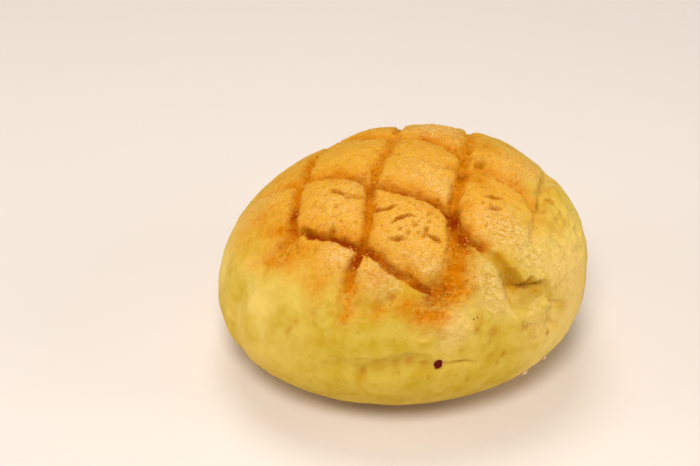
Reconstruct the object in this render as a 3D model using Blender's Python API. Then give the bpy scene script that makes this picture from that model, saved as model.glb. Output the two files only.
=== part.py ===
"""Melon pan: a round sweet bun with a scored cookie crust, one solid resting on a small flat base.

The bun is a sphere-like grid of points moved onto a low dome that leans a little to one side.
The score lines, the puffed blocks between them, the torn hollow on the right and the folds of
the lower crust are then pressed into that dome along its own surface normals.
"""

import bmesh
import bpy
import numpy as np
from mathutils import Vector

# All sizes are in millimetres and become metres when the mesh is written.
MM = 0.001

# ---------------------------------------------------------------- driving dimensions
NAME = "bun"
COLLECTION = "melon_pan"

HALF_WIDTH = 52.5          # widest level, left to right
HALF_DEPTH = 48.0          # widest level, front to back
HEIGHT = 58.5              # crown of the dome above the base
WIDEST_LEVEL = 24.0        # height of the widest level
WIDEST_TILT = (-1.3, -1.5)  # how far that level drops towards +X and +Y
BASE_SAG = 3.0             # how far the round underside is pressed flat on the tray
DOME_FULLNESS = 2.3        # superellipse exponent above the widest level
UNDERSIDE_FULLNESS = 2.2   # and below it
DOME_LEAN = (8.5, 4.8)     # shift of the crown towards +X and +Y
OVAL = 0.028               # two-lobed unevenness of the outline
TRIANGULAR = -0.019        # three-lobed unevenness of the outline

SEGMENTS = 28              # grid squares along an edge of the starting cube
CROWDING = 0.35            # how strongly the grid gathers on the scored crown
CROWD_TOWARDS = (0.05, -0.35, 0.93)
RELIEF_STARTS = 3.0        # the relief fades in between these heights above the base
RELIEF_FULL = 12.0

CRUST_COLOUR = (0.80, 0.46, 0.10, 1.0)

# ---------------------------------------------------------------- the crust's relief
# Places are on the crust laid out flat round the crown: x to the right and y to the back, as
# lengths along the surface. Each row of a line is (x, y, half width, depth), from end to end.
SCORES_FRONT_TO_BACK = (
    ((-24, 44, 3.0, 0.0), (-28, 30, 3.0, 1.6), (-32.3, 15, 3.0, 1.8), (-33, -2, 3.0, 2.2),
     (-34, -16, 3.0, 2.2), (-36, -24, 3.5, 1.2), (-40, -29, 4.0, 0.0)),
    ((-2, 54, 3.0, 0.0), (-4.5, 42, 3.0, 1.8), (-7.3, 28, 3.0, 2.0), (-11, 12, 3.0, 2.0),
     (-13.5, -3, 3.0, 2.2), (-15.4, -19, 2.8, 2.4), (-16.3, -30, 2.8, 2.4), (-19, -40, 3.2, 2.0),
     (-20, -50, 4.0, 0.0)),
    ((20, 54, 3.0, 0.0), (17.5, 42, 3.0, 1.6), (14.5, 27, 3.0, 1.8), (11.5, 9, 3.0, 2.0),
     (9, -8, 3.0, 2.4), (8.5, -23, 3.2, 3.0), (9.6, -32, 4.5, 2.6), (8, -42, 5.5, 2.4),
     (4, -50, 5.0, 1.4), (0, -56, 5.0, 0.0)),
    ((44, 24, 4.0, 0.0), (38.3, 9, 4.0, 1.6), (33, -7, 3.5, 1.8), (32.2, -18, 3.5, 1.4),
     (33, -26, 3.0, 0.0)),
)
SCORES_SIDE_TO_SIDE = (
    ((-42, 54, 3.0, 0.0), (-28, 50, 3.0, 1.4), (-6, 41, 3.0, 1.8), (15, 30, 3.0, 1.8),
     (32, 19, 3.0, 1.4), (46, 6, 3.0, 0.0)),
    ((-45, 36, 3.0, 0.0), (-28, 30, 3.0, 1.6), (-17, 22, 3.0, 1.9), (-8, 17.5, 3.0, 1.9),
     (0, 14.8, 3.0, 1.9), (10.5, 5, 3.0, 2.0)),
    ((9.2, -2, 3.0, 2.0), (16, -2, 2.8, 1.4), (24, -6.5, 2.6, 1.3), (31.5, -11.5, 2.6, 1.5),
     (40, -15, 3.0, 0.8), (46, -17, 3.0, 0.0)),
    ((-60, 8, 3.0, 0.0), (-50, 5.5, 3.0, 1.2), (-40, 1, 3.0, 1.8), (-32.6, -0.4, 3.0, 2.2),
     (-22, -2.4, 3.0, 2.3), (-13.5, -7.5, 3.0, 2.4), (-3.5, -13.5, 3.0, 2.4), (8.5, -23, 3.0, 2.8),
     (14, -28.3, 3.2, 2.4), (21, -30.5, 3.4, 2.6), (29, -33, 3.6, 3.4), (35, -32.5, 3.4, 3.4),
     (39, -31.5, 3.2, 2.0), (45, -31.5, 3.0, 1.2), (53, -30, 3.0, 0.0)),
    ((-44, -27, 4.0, 0.0), (-37.5, -24.5, 3.5, 1.4), (-31.5, -21.8, 3.0, 2.4),
     (-24.5, -24.2, 3.0, 2.6), (-18.3, -28.2, 3.0, 2.7), (-7.6, -38.6, 2.8, 2.5),
     (-1.6, -44.2, 2.8, 2.5), (4, -46, 3.0, 1.8), (8, -46, 3.0, 0.0)),
    ((-25, -47.5, 3.0, 0.0), (-19.6, -47.7, 3.0, 1.5), (-12, -49, 3.0, 1.4), (-6, -47, 3.0, 1.4),
     (-3.5, -44, 3.0, 0.0)),
)
FOLDS = (
    ((-46, -27, 5.0, 0.0), (-54, -30, 6.0, 1.4), (-62, -32, 6.0, 1.2), (-68, -38, 5.0, 0.0)),
    ((-34, -62, 3.0, 0.0), (-23, -65, 3.0, 0.7), (-8, -67, 3.5, 0.9), (10, -65.5, 3.0, 0.7),
     (30, -59, 3.0, 0.0)),
    ((26, -36, 3.0, 0.0), (32.5, -38, 4.0, 1.6), (37, -42, 3.5, 1.0), (38, -48, 3.0, 0.0)),
)
RIDGES = (
    ((14, -32, 3.0, 0.0), (21, -35.5, 3.5, 1.3), (29, -41, 3.5, 1.4), (34, -45, 3.0, 1.2),
     (40, -48, 3.0, 0.0)),
    ((46, -36, 2.5, 0.0), (41.5, -39.5, 3.0, 1.0), (39.5, -47, 3.0, 0.0)),
)
# Puffed middles of the blocks and other round swellings: (x, y, radius, height).
SWELLINGS = (
    (-23, -14, 10, 0.7), (-5, -28, 10, 0.7), (-1, -3.5, 10, 0.6), (-22, 9, 10, 0.6),
    (3, 20, 9, 0.5), (20, -17, 10, 0.6), (24, 6, 11, 0.6), (-24, -34, 9, 0.8),
    (-11.5, -42.5, 6, 0.9), (19, -41, 7, 0.9), (-44, -10, 12, 0.6), (-17, 32, 9, 0.5),
    (6, 38, 9, 0.5), (26, 30, 9, 0.5), (0, -41, 5, 0.7), (-15.3, -67.7, 3.5, -1.6),
    (46, -30.5, 4, -1.0), (50, -37, 3.5, -0.8),
)


def crown_grid():
    """A cube cut into squares and rounded to a unit ball, its grid gathered on the crown."""
    grid = bmesh.new()
    bmesh.ops.create_cube(grid, size=2.0)
    bmesh.ops.subdivide_edges(grid, edges=grid.edges[:], cuts=SEGMENTS - 1, use_grid_fill=True)
    gather = Vector(CROWD_TOWARDS).normalized() * CROWDING
    for vertex in grid.verts:
        even = Vector([np.tan(value * np.pi / 4) for value in vertex.co])
        vertex.co = (even.normalized() + gather).normalized()
    return grid


def superellipse(angle, fullness):
    """Radius of a unit superellipse at an angle above or below its widest level."""
    return (np.abs(np.cos(angle)) ** fullness + np.abs(np.sin(angle)) ** fullness) ** (-1 / fullness)


def dome(bearing, angle):
    """Point of the smooth bun at a bearing round it and an angle above its widest level."""
    reach = 1 / np.hypot(np.cos(bearing) / HALF_WIDTH, np.sin(bearing) / HALF_DEPTH)
    reach = reach * (1 + OVAL * np.sin(2 * bearing) + TRIANGULAR * np.sin(3 * bearing))
    widest = WIDEST_LEVEL + WIDEST_TILT[0] * np.cos(bearing) + WIDEST_TILT[1] * np.sin(bearing)
    above = superellipse(angle, DOME_FULLNESS)
    below = superellipse(angle, UNDERSIDE_FULLNESS)
    radius = np.where(angle >= 0, above, below) * np.cos(angle) * reach
    rise = (HEIGHT - widest) * above * np.sin(angle)
    drop = (widest + BASE_SAG) * below * np.sin(angle)
    height = np.maximum(widest + np.where(angle >= 0, rise, drop), 0.0)
    lean = (height / HEIGHT) ** 1.5
    return np.stack([radius * np.cos(bearing) + DOME_LEAN[0] * lean,
                     radius * np.sin(bearing) + DOME_LEAN[1] * lean, height], axis=-1)


def length_from_crown(angle):
    """Length along an average meridian from the crown down to an angle."""
    steps = np.linspace(np.pi / 2, -np.pi / 2, 721)
    bearing = np.full_like(steps, np.pi / 4)
    line = dome(bearing, steps) - np.outer((dome(bearing, steps)[:, 2] / HEIGHT) ** 1.5, (*DOME_LEAN, 0))
    lengths = np.concatenate([[0.0], np.cumsum(np.linalg.norm(np.diff(line, axis=0), axis=1))])
    return np.interp(-angle, -steps, lengths)


def smooth_line(rows, per_span=8):
    """A smooth curve through the rows of a line (Catmull-Rom), each value carried along."""
    rows = np.array(rows, dtype=float)
    padded = np.vstack([2 * rows[0] - rows[1], rows, 2 * rows[-1] - rows[-2]])
    t = np.linspace(0, 1, per_span, endpoint=False)[:, None]
    spans = []
    for a, b, c, d in zip(padded, padded[1:], padded[2:], padded[3:]):
        spans.append(0.5 * (2 * b + (c - a) * t + (2 * a - 5 * b + 4 * c - d) * t ** 2
                            + (3 * b - a - 3 * c + d) * t ** 3))
    return np.vstack(spans + [rows[-1:]])


def pressed_line(places, rows):
    """Depth pressed into each place by one line: full on the line, none past its half width."""
    curve = smooth_line(rows)
    depth = np.zeros(len(places))
    for start, end in zip(curve, curve[1:]):
        along = end[:2] - start[:2]
        share = np.clip((places - start[:2]) @ along / (along @ along), 0, 1)
        away = np.linalg.norm(places - start[:2] - share[:, None] * along, axis=1)
        width, full = (start[2:] + share[:, None] * (end[2:] - start[2:])).T
        near = np.clip(1 - (away / width) ** 2, 0, 1) ** 1.5
        depth = np.maximum(depth, near * np.maximum(full, 0))
    return depth


def relief(places):
    """Height added to the smooth bun at each place of the laid-out crust."""
    cut = np.zeros(len(places))
    for rows in SCORES_FRONT_TO_BACK + SCORES_SIDE_TO_SIDE:
        cut = np.maximum(cut, pressed_line(places, rows))
    height = -cut
    for rows in FOLDS:
        height -= pressed_line(places, rows)
    for rows in RIDGES:
        height += pressed_line(places, rows)
    for x, y, radius, rise in SWELLINGS:
        square = ((places - (x, y)) ** 2).sum(axis=1) / radius ** 2
        height += rise * np.exp(-1.5 * square)
    return height


def smoothstep(low, high, value):
    t = np.clip((value - low) / (high - low), 0, 1)
    return t * t * (3 - 2 * t)


def bun_mesh():
    """The closed skin of the bun, with the middle of its box over the origin."""
    skin = crown_grid()
    ball = np.array([vertex.co for vertex in skin.verts])
    bearing = np.arctan2(ball[:, 1], ball[:, 0])
    angle = np.arcsin(np.clip(ball[:, 2], -1, 1))
    points = dome(bearing, angle)
    for vertex, point in zip(skin.verts, points):
        vertex.co = point
    skin.normal_update()
    normals = np.array([vertex.normal for vertex in skin.verts])
    places = length_from_crown(angle)[:, None] * np.stack([np.cos(bearing), np.sin(bearing)], axis=-1)
    fade = smoothstep(RELIEF_STARTS, RELIEF_FULL, points[:, 2])
    points = points + normals * (relief(places) * fade)[:, None]
    middle = (points.min(axis=0) + points.max(axis=0)) / 2
    points -= (middle[0], middle[1], 0.0)
    for vertex, point in zip(skin.verts, points):
        vertex.co = point * MM
    bmesh.ops.triangulate(skin, faces=skin.faces[:])
    mesh = bpy.data.meshes.new(NAME)
    skin.to_mesh(mesh)
    skin.free()
    mesh.shade_smooth()
    return mesh


def crust_material():
    material = bpy.data.materials.new("golden_crust")
    material.use_nodes = True
    shader = material.node_tree.nodes["Principled BSDF"]
    shader.inputs["Base Color"].default_value = CRUST_COLOUR
    shader.inputs["Roughness"].default_value = 0.55
    shader.inputs["Metallic"].default_value = 0.0
    return material


def main():
    for item in list(bpy.context.scene.objects):
        bpy.data.objects.remove(item, do_unlink=True)
    collection = bpy.data.collections.new(COLLECTION)
    bpy.context.scene.collection.children.link(collection)
    bun = bpy.data.objects.new(NAME, bun_mesh())
    bun.data.materials.append(crust_material())
    collection.objects.link(bun)


main()
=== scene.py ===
"""Melon pan: the finished skin, sugar, crumbs and burnt specks of a scored sweet bun."""

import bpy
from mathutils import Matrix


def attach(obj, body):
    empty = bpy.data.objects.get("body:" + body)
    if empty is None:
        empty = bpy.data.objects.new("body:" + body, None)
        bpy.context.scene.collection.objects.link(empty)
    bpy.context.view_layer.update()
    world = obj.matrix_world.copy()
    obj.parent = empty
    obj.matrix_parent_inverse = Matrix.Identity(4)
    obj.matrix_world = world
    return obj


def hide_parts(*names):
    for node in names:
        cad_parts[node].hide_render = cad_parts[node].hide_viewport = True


bl_info = {
    "name": "Melon Pan",
    "version": (1, 0, 0),
    "blender": (4, 5, 0),
    "location": "View3D > Sidebar > Melon Pan",
    "description": "Makes a scored, sugared melon pan bun on a plain pale table",
    "category": "Add Mesh",
}

import math

import bmesh
import bpy
import numpy as np
from bpy.props import FloatProperty, FloatVectorProperty, IntProperty, PointerProperty
from mathutils import Matrix, Vector, noise

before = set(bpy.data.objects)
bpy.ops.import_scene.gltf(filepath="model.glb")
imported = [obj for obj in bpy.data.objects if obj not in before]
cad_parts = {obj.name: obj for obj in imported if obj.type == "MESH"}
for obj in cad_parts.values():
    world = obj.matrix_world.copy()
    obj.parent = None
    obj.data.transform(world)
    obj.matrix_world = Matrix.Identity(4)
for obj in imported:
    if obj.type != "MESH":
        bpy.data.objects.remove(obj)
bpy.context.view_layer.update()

MM = 0.001
BODY = "root"
NODE = "bun"

# ---------------------------------------------------------------- the smooth bun, in millimetres
HALF_WIDTH = 52.5
HALF_DEPTH = 48.0
MEAN_RADIUS = 50.0
HEIGHT = 58.5
WIDEST_LEVEL = 24.0
WIDEST_TILT = (-1.3, -1.5)
BASE_SAG = 3.0
DOME_FULLNESS = 2.3
UNDERSIDE_FULLNESS = 2.2
DOME_LEAN = (8.5, 4.8)
OVAL = 0.028
TRIANGULAR = -0.019
CROWD_TOWARDS = (0.05, -0.35, 0.93)
RELIEF_STARTS = 3.0
RELIEF_FULL = 12.0
FAR = 99.0
LINE_REACH = 9.0
# The usual way of looking, and how deep a score line is taken to lie when it is placed.
LOOK = (0.0, 0.788, -0.616)
SIGHT_DEPTH = 1.1
HOLLOW_DEPTH = 2.6
# How far the relief goes, as shares of the depths in the tables below.
SCORE_CUT = 0.85
SCORE_UNEVENNESS = 0.40
CRACK_CUT = 1.4
PIT_CUT = 1.4
FULL_SCORE = 2.4
# Unevenness of the skin: (height, size of a feature, octaves, seed).
SKIN_WAVES = ((0.40, 30, 1, 4), (0.22, 8, 2, 5))
GRAIN_WAVES = ((0.10, 1.3, 2, 6), (0.18, 3.0, 2, 7))
FROST_WAVES = ((0.30, 1.9, 2, 8), (0.30, 4.5, 1, 15))
LUMP_HEIGHT = 0.75
CRUMB_HEIGHT = 0.46
SWAY_WAVES = (((1.0, 2.4, 2, 1), (1.1, 7, 1, 12)), ((1.0, 2.4, 2, 2), (1.1, 7, 1, 13)))

# ---------------------------------------------------------------- the crust's relief
# Places are on the crust laid out flat round the crown: x to the right and y to the back, as
# lengths along the surface in millimetres. Each row of a line is (x, y, half width, depth).
SCORES_FRONT_TO_BACK = (
    ((-24, 44, 1.8, 0.0), (-28, 30, 1.8, 1.6), (-32.3, 15, 1.8, 1.7), (-33, -2, 1.7, 2.0),
     (-33.6, -14, 1.8, 2.2), (-34.5, -20, 2.0, 1.8), (-36.5, -25, 2.6, 1.0), (-40, -29, 3.0, 0.0)),
    ((-2, 54, 1.8, 0.0), (-4.5, 42, 1.8, 1.5), (-7.3, 28, 2.0, 1.3), (-11, 12, 2.2, 1.2),
     (-13.5, -3, 1.8, 1.8), (-15, -19, 1.6, 2.2), (-16.3, -30, 1.8, 2.3), (-19, -37, 2.6, 2.3),
     (-19.6, -42, 2.8, 1.6), (-20, -47, 3.0, 0.9), (-20.5, -52, 3.2, 0.0)),
    ((20, 54, 1.8, 0.0), (17.5, 42, 1.8, 1.4), (14.5, 27, 2.0, 1.5), (11.5, 9, 2.2, 1.5),
     (9, -8, 2.2, 1.9), (8.3, -18, 2.2, 2.4), (9.0, -25, 2.8, 2.7), (11.4, -32, 4.8, 2.4),
     (11.0, -39, 6.0, 2.3), (8.2, -46, 6.0, 1.9), (4, -51.5, 5.4, 0.9), (0, -57, 5.0, 0.0)),
)
SCORES_SIDE_TO_SIDE = (
    ((-42, 54, 1.8, 0.0), (-28, 50, 1.8, 1.4), (-6, 41, 1.8, 1.8), (15, 30, 1.8, 1.8),
     (32, 19, 2.0, 1.4), (46, 6, 2.4, 0.0)),
    ((-45, 36, 1.8, 0.0), (-28, 30, 1.7, 1.6), (-17, 22, 1.7, 1.9), (-8, 17.5, 1.7, 1.9),
     (0, 14.8, 1.7, 1.9), (10.5, 5, 1.8, 1.9)),
    ((9.2, -2, 2.0, 1.9), (16, -1.2, 1.8, 1.3), (21, -3.6, 1.7, 1.2), (25.5, -6, 1.7, 1.3),
     (28.5, -8.8, 1.7, 0.9), (31.5, -11.5, 2.0, 0.0)),
    ((-60, 8, 2.0, 0.0), (-50, 5.5, 1.8, 0.4), (-40, 1, 1.8, 1.1), (-32.6, -0.4, 1.7, 2.1),
     (-22, -2.4, 1.6, 2.2), (-13.5, -7.5, 1.7, 2.3), (-3.5, -13.5, 1.7, 2.4), (4, -18.5, 1.8, 2.5),
     (8.7, -23, 2.2, 2.8), (13, -27.2, 2.2, 2.4), (17, -29.6, 2.2, 2.2)),
    ((-46, -27.5, 3.0, 0.0), (-39, -24.5, 2.6, 1.2), (-34.5, -21.3, 2.0, 2.0),
     (-31.3, -20.8, 1.6, 2.3), (-29.2, -22.3, 1.5, 2.4), (-26.3, -23.6, 1.5, 2.5),
     (-22.8, -25.6, 1.5, 2.6), (-19.4, -28.6, 1.6, 2.7), (-15.6, -31.4, 1.7, 2.6),
     (-11.6, -35.1, 1.7, 2.5), (-6.8, -39.4, 1.8, 2.5), (-3.2, -41.6, 1.8, 2.4),
     (-0.2, -43.4, 1.6, 2.6), (3.2, -44.6, 1.6, 2.8), (6.4, -44.0, 1.6, 2.4), (9, -42.4, 1.6, 1.8),
     (11.5, -41.8, 1.5, 1.0), (14, -41.6, 2.0, 0.0)),
    ((-22, -46.5, 2.6, 0.0), (-18.5, -47.6, 2.8, 0.8), (-14, -48.6, 2.8, 0.5),
     (-10, -48.6, 2.4, 0.8), (-7, -46.4, 2.2, 0.9), (-5.5, -43.5, 1.8, 0.0)),
)
FOLDS = (
    ((42, 26, 3.0, 0.0), (37, 9, 2.8, 1.9), (33.5, 1, 2.4, 2.2), (33, -8, 2.4, 2.3),
     (32.4, -15, 2.8, 2.0), (32.5, -21, 3.0, 1.2), (33, -26, 3.0, 0.0)),
    ((27, -8, 1.8, 0.0), (30, -10.4, 2.0, 1.6), (34, -13.2, 2.2, 1.8), (40, -15.5, 2.6, 1.2),
     (47, -18, 2.6, 0.0)),
    ((-42, -25, 5.0, 0.0), (-50, -28, 6.0, 1.2), (-58, -31, 7.0, 2.0), (-66, -37, 6.0, 1.2),
     (-72, -42, 5.0, 0.0)),
    ((-34, -62, 2.6, 0.0), (-26, -63.3, 3.2, 1.0), (-20, -64.6, 3.8, 1.0), (-8, -66.6, 4.4, 1.4),
     (2.3, -65.2, 4.0, 1.7), (10, -65.6, 3.0, 1.0), (16.2, -64.6, 1.8, 0.5), (20, -63.0, 1.4, 1.1),
     (25, -61.6, 1.3, 1.0), (29, -61.5, 1.3, 0.0)),
    ((10.6, -55, 1.3, 0.0), (11.0, -59, 1.4, 0.7), (12.6, -63.5, 1.3, 0.0)),
    ((41.2, -32, 1.4, 0.0), (44.4, -33.5, 1.6, 1.7), (47, -32.8, 1.6, 1.6), (51, -30.5, 1.8, 0.0)),
    ((42.6, -35.6, 1.4, 0.0), (45.6, -37.4, 1.6, 1.2), (49.8, -38.6, 1.8, 1.3), (54, -37.5, 2.0, 0.0)),
    ((37.2, -43.2, 1.0, 0.0), (39.2, -45.0, 1.1, 0.9), (41.5, -47.2, 1.0, 0.0)),
    ((34, 3, 2.6, 0.0), (35.4, -1, 2.8, 1.4), (35, -6, 2.6, 0.8), (35, -10, 2.4, 0.0)),
    ((36.4, 3.6, 1.5, 0.0), (38.2, -0.2, 1.7, 1.5), (39.6, -3.6, 1.8, 1.9), (41.4, -6.6, 1.6, 1.2),
     (43.4, -9.0, 1.5, 0.0)),
    ((36.2, -11.4, 1.4, 0.0), (38.8, -13.6, 1.5, 1.2), (42.2, -14.2, 1.4, 0.8),
     (45.0, -13.0, 1.4, 0.0)),
)
# The torn hollow on the right, with a steep wall under the crust that overhangs it.
HOLLOW = ((13, -28.8, 1.2, 0.0), (17, -30.6, 1.4, 1.2), (21, -32.8, 1.8, 2.0),
          (25, -34.4, 2.3, 3.2), (28.6, -36.0, 2.8, 4.8), (31.8, -35.8, 3.2, 6.2),
          (34.8, -34.6, 3.0, 6.2), (37.4, -33.6, 2.2, 4.4), (39.4, -34.2, 1.8, 1.6),
          (41, -36, 1.4, 0.0))
SUGARED_CREST = ((13.5, -30, 1.6, 0.0), (16, -31.4, 1.6, 0.9), (19, -33.0, 1.7, 1.5),
                 (22, -35.0, 1.8, 2.0), (25.5, -37.8, 1.8, 2.4), (30.5, -42.0, 1.8, 2.1),
                 (35, -44.6, 1.8, 1.3), (39.6, -46.4, 1.8, 0.0))
RIDGES = (
    ((40, -33, 2.4, 0.0), (42.6, -35.2, 2.6, 0.9), (43.4, -38, 2.8, 1.1), (40.6, -40.6, 2.8, 1.0),
     (37.6, -43, 2.6, 0.8), (36, -46, 2.4, 0.0)),
    ((34.4, -43, 1.6, 0.0), (36.4, -45.2, 1.7, 0.8), (39.2, -47, 1.7, 0.7), (41, -48.4, 1.6, 0.0)),
    ((36.4, -28.4, 1.8, 0.0), (38.8, -30, 2.0, 0.8), (40, -32.6, 2.0, 0.8), (40.6, -35, 1.8, 0.0)),
)
# Cracks in the blocks: (x, y, heading, length, turn, depth), the angles in degrees.
CRACKS = ((-15, -18, 5, 7, 8, 1.1), (-9, -24, 40, 7, -65, 1.0), (0, -28, -25, 6, -5, 0.7),
          (-24, -7, -50, 5, 0, 0.9), (-21, -11, -15, 6, 0, 0.4), (-32, -18, -45, 4, 5, 0.9),
          (-25, -23, 60, 3, 10, 0.7), (-10, -29, -5, 5, -20, 0.6), (16, -11, 10, 5, 0, 0.7),
          (17, -16, 15, 5, 0, 0.5))
# Puffed middles of the blocks and other round swellings and dents: (x, y, radius, height).
SWELLINGS = (
    (-23, -14, 10, 0.6), (-5, -27, 10, 0.9), (-1, -3.5, 10, 0.6), (-22, 9, 10, 0.6),
    (3, 20, 9, 0.5), (20, -17, 10, 0.6), (24, 6, 11, 0.6), (-25, -32, 7, 0.8), (-12, -40, 5.5, 1.1),
    (17.5, -38, 6, 1.0), (-44, -10, 12, 0.6), (-17, 32, 9, 0.5), (6, 38, 9, 0.5), (26, 30, 9, 0.5),
    (-15, -68, 2.6, -1.4), (31, -38.5, 6.0, -2.8), (36.5, -42, 5.0, -1.2), (46, -30.5, 3, -0.5),
    (28, -26, 5, 0.6), (13.5, -54, 4, 0.6), (5, -57, 4, 0.4), (16, -47.5, 4, -0.5),
    (30, -50.5, 4, -0.6), (-27, -57, 5, -0.3), (49, -20, 9, 0.5), (-6.8, -46.4, 1.5, -0.6),
)
# Where the crust hangs over the hollow beneath it: (x, y, radius, reach).
LIPS = ((30.8, -32.6, 2.0, 2.3), (26.5, -31.8, 2.0, 0.9), (34.6, -31.6, 1.8, 1.3))
# Stretches where the skin is lumpy: (x, y, radius, strength).
LUMPY = (
    (45, -8, 14, 1.4), (42, -38, 9, 0.9), (18, -52, 9, 0.7), (20, -37, 8, 0.8), (-28, -45, 14, 0.5),
    (-50, -25, 14, 0.4), (5, -55, 9, 0.7), (25, 5, 12, 0.5), (-12, -40, 6, 0.8),
)
# Loose groups of round pits: (x, y, spread, number, radius, depth).
PIT_GROUPS = (
    (-25, -15, 4, 7, 0.7, 0.5), (-18, -2, 3, 3, 0.8, 0.7), (-1, -26, 4, 6, 0.8, 0.7),
    (-9, -27, 5, 4, 0.6, 0.5), (3, -3, 4, 4, 0.6, 0.4), (8, -20, 3, 4, 1.0, 0.9),
    (20, -15, 5, 5, 0.7, 0.5), (13, 5, 6, 4, 1.3, 0.9), (38, -8, 5, 7, 1.0, 0.7),
    (34, -27, 4, 3, 0.9, 0.6), (-36, -22, 3, 2, 0.9, 0.5), (47, -42, 5, 2, 0.9, 0.5),
    (20, -58, 9, 5, 0.7, 0.3), (-28, -55, 9, 3, 0.8, 0.4),
)

# ---------------------------------------------------------------- where the crust is coloured, and where shade and light are painted
# Broad toasted orange patches beyond the score lines: (x, y, radius, strength).
ORANGE_PATCHES = (
    (-35.5, -18, 4.0, 0.7), (-37, -26, 5.0, 0.7), (-31, -27, 5.0, 0.45), (-19.2, -42, 4.0, 0.9),
    (-12, -41, 6.0, 0.55), (-19.5, -48.5, 4.0, 0.8), (2, -50.5, 5.5, 0.85), (9, -50.5, 5.0, 0.75),
    (11.5, -44, 6.0, 0.85), (12.5, -36, 6.0, 0.9), (-4, -48.5, 3.5, 0.6), (-26, -33, 6.0, 0.3),
    (-42, -14, 8.0, 0.3), (-28, -43, 4.0, 0.3), (12, -30, 3.5, 0.9), (-10.5, -49.5, 3.5, 0.6),
    (9.5, -3, 5.0, 0.6), (16.5, 12, 5.0, 0.6), (-9, 14, 4.0, 0.4), (-41, -25.9, 2.5, 0.5),
    (14, -7, 4.0, 0.5), (11.5, -18, 3.0, 0.7), (13, -25.5, 3.0, 0.8), (18, -28.6, 3.0, 0.8),
    (23, -30.6, 2.2, 0.5), (16, -2, 4.0, 0.5), (-27, -38.5, 3.0, 0.3), (16, -43, 3.0, 0.4),
    (-44, -6, 9.0, 0.22), (-44, 8, 9.0, 0.22),
)
# Painted shade: rust-dark colour painted into the deepest creases, where shade falls: (x, y, radius,
# strength).
RUST_AND_CREASE_SHADE_PATCHES = (
    (-30, -21.5, 3.0, 0.8), (-25, -24.5, 3.0, 0.9), (-20.5, -27.8, 3.0, 1.0), (-14, -33, 4.0, 0.75),
    (-9, -37.5, 3.0, 0.45), (-1, -45.5, 3.0, 0.9), (3.5, -46.4, 3.0, 1.0), (8.5, -44, 2.5, 0.6),
    (-33.6, -13, 3.0, 0.9), (-34.2, -18.5, 2.0, 0.7), (8.6, -22, 4.0, 0.9), (12.4, -28, 3.0, 1.0),
    (-13.5, -8, 4.0, 0.6), (9, -3, 3.0, 0.6), (-3, -13.5, 4.0, 0.4), (-18.4, -34, 3.0, 0.6),
    (9.4, 6, 2.0, 0.6), (17, -30, 3.0, 0.4), (-7, -11.4, 3.0, 0.7), (0.6, -16.4, 3.0, 0.8),
    (-20, -3, 3.0, 0.5), (-28, -1.4, 3.0, 0.5), (-5, -40.4, 3.0, 0.3), (-17, -30.4, 3.0, 0.4),
    (-28, -22.6, 2.6, 0.4), (6, -20.4, 3.0, 0.5), (-23, -26, 2.6, 0.4),
)
# Loose groups of small brown stains: (x, y, spread, number, radius, strength).
STAIN_GROUPS = (
    (-35, -50, 9, 8, 1.5, 0.25), (14, -62, 13, 9, 0.9, 0.35), (34, -55, 10, 8, 1.1, 0.35),
    (20, -75, 8, 4, 1.2, 0.35), (46, -38, 5, 4, 1.2, 0.7), (37, -8, 6, 7, 1.1, 0.6),
    (-36, -22, 3, 2, 1.1, 0.7), (0, -23, 7, 5, 0.9, 0.6), (8, -18, 3, 3, 1.2, 0.8),
    (14, 5, 6, 3, 1.5, 0.7), (24, -49, 6, 4, 2.4, 0.35), (-8, -62, 9, 3, 0.9, 0.35),
)
# Painted shade: brown painted along the long low crease at the front, from end to end, where shade
# falls: (x, y, radius, strength).
CREASE_SHADE_SPOTS = (
    (-15, -68, 2, 0.5), (-9, -67, 3, 0.2), (-3, -66, 3, 0.35), (2, -65, 2.4, 0.6),
    (8, -65, 2, 0.35),
)
# Painted shade: a darker golden colour painted into the torn hollow and other dips of the right side and
# the front, where shade falls: (x, y, radius, strength).
PAINTED_SHADE_SPOTS = (
    (33.4, -34.6, 2.6, 1.0), (30, -34.6, 2.2, 0.8), (36.8, -33.4, 1.8, 0.6), (26.4, -33, 2.4, 0.9),
    (23, -32, 2.0, 0.7), (32.4, -36.4, 2.0, 0.7), (47, -33, 2.6, 0.5), (49, -38, 2.2, 0.5),
    (34, -1, 3.4, 0.35), (34, -8, 3.4, 0.3), (36, -14, 3.0, 0.25), (-15, -68, 2.0, 0.5),
    (41, -45, 2.2, 0.35),
)
# Paler, milky stretches of the sides, partly painted light that brightens the flanks and the floor of
# the torn hollow: (x, y, radius, strength).
MILKY_AND_LIT_PATCHES = (
    (-62, -10, 21, 0.75), (-50, -38, 16, 0.7), (55, -18, 20, 0.8), (45, 30, 24, 0.7),
    (-40, 50, 24, 0.6), (15, -53, 8, 0.7), (55, -45, 12, 0.4), (0, 70, 24, 0.5), (33, -40, 6, 1.0),
    (60, -40, 14, 0.7),
)
# Sugared, frosty stretches, with some painted glints of light: (x, y, radius, strength).
FROST_AND_GLINT_PATCHES = (
    (-22, -31, 4.5, 0.8), (-12.5, -39, 5.0, 0.8), (-9, -43.5, 3.0, 0.7), (18.5, -37.5, 4.5, 0.9),
    (23, -40.5, 4.5, 0.9), (27, -43.5, 4.0, 0.6), (20, -21, 6.0, 0.6), (27, -24, 6.0, 0.7),
    (33, -27, 5.0, 0.6), (44, -22, 9.0, 0.45), (27, 3, 9.0, 0.3), (14.5, -53.5, 5.0, 0.8),
    (-3, -27, 9.0, 0.3), (3, -38, 4.0, 0.5), (-1, -4, 8.0, 0.25), (-22, -15, 8.0, 0.3),
    (50, -25, 10.0, 0.4), (42, -41, 6.0, 0.5), (-16, -4.5, 4.0, 0.4), (5, -11, 5.0, 0.5),
    (12, -32.5, 3.0, 0.3), (5, -53, 4.0, 0.35), (3, 22, 8.0, 0.5), (-46, -3, 8.0, 0.3),
)


# ---------------------------------------------------------------- the stage
BUN_MIDDLE = (-2.3, -2.2, 25.0)
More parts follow.
